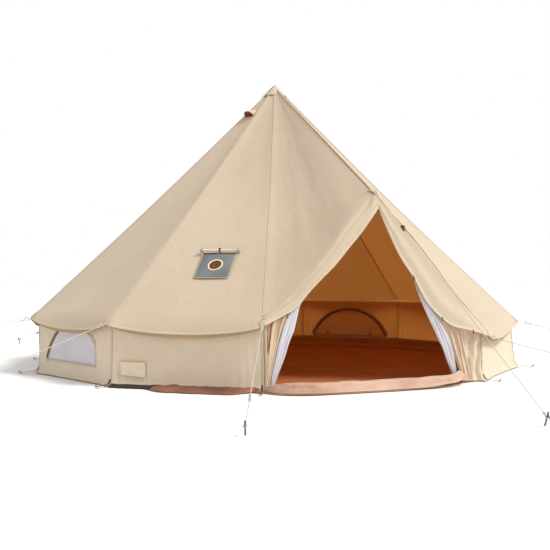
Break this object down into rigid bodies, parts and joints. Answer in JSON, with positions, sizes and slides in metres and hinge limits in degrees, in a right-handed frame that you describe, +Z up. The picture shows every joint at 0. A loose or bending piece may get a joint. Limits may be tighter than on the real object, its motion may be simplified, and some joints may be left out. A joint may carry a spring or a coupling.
{
  "type": "bell tent",
  "caption": "Pitched canvas bell tent with a centre pole, an A-frame door, arched windows, a stove jack, a sewn-in tub floor and staked guylines with sliding runners.",
  "frame": {"origin": "Centre of the pegged footprint, on the ground below the centre pole's axis to within a few centimetres.", "axes": "+Z up. The door faces -Y. The tent is close to a mirror image of itself left to right, save the stove jack and the cable port on one front panel, one vent hood, and the lower hem to the right of the door."},
  "size_m": [8.8396, 8.8536, 3],
  "materials": {
    "canvas": "matt cotton canvas",
    "reinforcement": "matt heavy cloth",
    "groundsheet": "coated cloth, slight sheen",
    "sill": "canvas-faced sill",
    "pole_steel": "galvanised steel tube",
    "black_plastic": "moulded plastic",
    "mesh": "fine insect mesh",
    "toggle_wood": "dark wood",
    "zip_tape": "woven zip tape with teeth",
    "jack_cloth": "coated glass-fibre cloth",
    "piping": "folded canvas binding",
    "webbing": "woven webbing",
    "ring_steel": "bright steel wire",
    "peg_steel": "dull steel bar",
    "rope": "twisted cord",
    "runner_aluminium": "matt anodised plate",
    "runner_brown": "moulded plastic",
    "zip_brass": "worn brass"
  },
  "bodies": {
    "tent": {"roof_canvas": "canvas", "door_canopy": "canvas", "wall_canvas": "canvas", "apex_cap": "reinforcement", "apex_vent_hoods": "canvas", "groundsheet_floor": "groundsheet", "groundsheet_edge": "groundsheet", "door_sill": "sill", "centre_pole_bottom": "pole_steel", "centre_pole_middle": "pole_steel", "centre_pole_top": "pole_steel", "pole_feet": "black_plastic", "door_pole_left": "pole_steel", "door_pole_right": "pole_steel", "door_pole_joint": "black_plastic", "door_leaf_left": "canvas", "door_leaf_right": "canvas", "door_mesh_left": "mesh", "door_mesh_right": "mesh", "door_toggles": "toggle_wood", "window_meshes": "mesh", "window_zips": "zip_tape", "window_covers": "canvas", "stove_jack_panel": "jack_cloth", "stove_jack_ring": "piping", "stove_jack_flap": "canvas", "guy_tabs": "webbing", "guy_rings": "ring_steel", "guy_pegs": "peg_steel", "wall_peg_loops": "webbing", "wall_pegs": "peg_steel", "guyline_1": "rope", "guyline_2": "rope", "guyline_3": "rope", "guyline_4": "rope", "guyline_5": "rope", "guyline_6": "rope", "guyline_7": "rope", "guyline_8": "rope", "guyline_9": "rope", "guyline_10": "rope", "guyline_11": "rope", "guyline_12": "rope"},
    "runner_1": {"runner_1": "runner_aluminium"},
    "runner_2": {"runner_2": "runner_aluminium"},
    "runner_3": {"runner_3": "runner_aluminium"},
    "runner_4": {"runner_4": "runner_aluminium"},
    "runner_5": {"runner_5": "runner_aluminium"},
    "runner_6": {"runner_6": "runner_aluminium"},
    "runner_7": {"runner_7": "runner_aluminium"},
    "runner_8": {"runner_8": "runner_aluminium"},
    "runner_9": {"runner_9": "runner_aluminium"},
    "runner_10": {"runner_10": "runner_aluminium"},
    "runner_11": {"runner_11": "runner_aluminium"},
    "runner_12": {"runner_12": "runner_brown"},
    "zip_slider_1": {"zip_slider_1": "zip_brass"},
    "zip_slider_2": {"zip_slider_2": "zip_brass"},
    "zip_slider_3": {"zip_slider_3": "zip_brass"},
    "zip_slider_4": {"zip_slider_4": "zip_brass"},
    "cable_port_flap": {"cable_port_flap": "canvas"}
  },
  "joints": [
    {"name": "runner_1_slide", "type": "slide", "parent": "tent", "child": "runner_1", "axis": [0.4095, -0.8944, -0.1797], "range_m": [-0.3, 0.25]},
    {"name": "runner_2_slide", "type": "slide", "parent": "tent", "child": "runner_2", "axis": [0.8066, -0.5507, -0.2148], "range_m": [-0.3, 0.25]},
    {"name": "runner_3_slide", "type": "slide", "parent": "tent", "child": "runner_3", "axis": [0.9669, -0.0547, -0.2491], "range_m": [-0.3, 0.25]},
    {"name": "runner_4_slide", "type": "slide", "parent": "tent", "child": "runner_4", "axis": [0.8564, 0.4523, -0.2491], "range_m": [-0.3, 0.25]},
    {"name": "runner_5_slide", "type": "slide", "parent": "tent", "child": "runner_5", "axis": [0.5, 0.8295, -0.2491], "range_m": [-0.3, 0.25]},
    {"name": "runner_6_slide", "type": "slide", "parent": "tent", "child": "runner_6", "axis": [0, 0.9685, -0.2491], "range_m": [-0.3, 0.25]},
    {"name": "runner_7_slide", "type": "slide", "parent": "tent", "child": "runner_7", "axis": [-0.5, 0.8295, -0.2491], "range_m": [-0.3, 0.25]},
    {"name": "runner_8_slide", "type": "slide", "parent": "tent", "child": "runner_8", "axis": [-0.8564, 0.4523, -0.2491], "range_m": [-0.3, 0.25]},
    {"name": "runner_9_slide", "type": "slide", "parent": "tent", "child": "runner_9", "axis": [-0.9669, -0.0547, -0.2491], "range_m": [-0.3, 0.25]},
    {"name": "runner_10_slide", "type": "slide", "parent": "tent", "child": "runner_10", "axis": [-0.7999, -0.546, -0.2491], "range_m": [-0.3, 0.25]},
    {"name": "runner_11_slide", "type": "slide", "parent": "tent", "child": "runner_11", "axis": [-0.4032, -0.8806, -0.2491], "range_m": [-0.3, 0.25]},
    {"name": "runner_12_slide", "type": "slide", "parent": "tent", "child": "runner_12", "axis": [0, -0.8084, -0.5886], "range_m": [-0.4, 1.2]},
    {"name": "zip_slider_1_run", "type": "hinge", "parent": "tent", "child": "zip_slider_1", "pos_m": [2.28038, -0.77542, -0.05389], "axis": [0.9468, -0.3219, 0], "range_deg": [0, 130.8]},
    {"name": "zip_slider_2_run", "type": "hinge", "parent": "tent", "child": "zip_slider_2", "pos_m": [1.75061, 1.65431, -0.05389], "axis": [0.7268, 0.6868, 0], "range_deg": [0, 130.8]},
    {"name": "zip_slider_3_run", "type": "hinge", "parent": "tent", "child": "zip_slider_3", "pos_m": [-1.75061, 1.65431, -0.05389], "axis": [-0.7268, 0.6868, 0], "range_deg": [0, 130.8]},
    {"name": "zip_slider_4_run", "type": "hinge", "parent": "tent", "child": "zip_slider_4", "pos_m": [-2.28038, -0.77542, -0.05389], "axis": [-0.9468, -0.3219, 0], "range_deg": [0, 130.8]},
    {"name": "cable_port_flap_lift", "type": "hinge", "parent": "tent", "child": "cable_port_flap", "pos_m": [-1.91435, -1.54108, 0.21], "axis": [-0.7645, 0.6447, 0], "range_deg": [0, 150]}
  ]
}
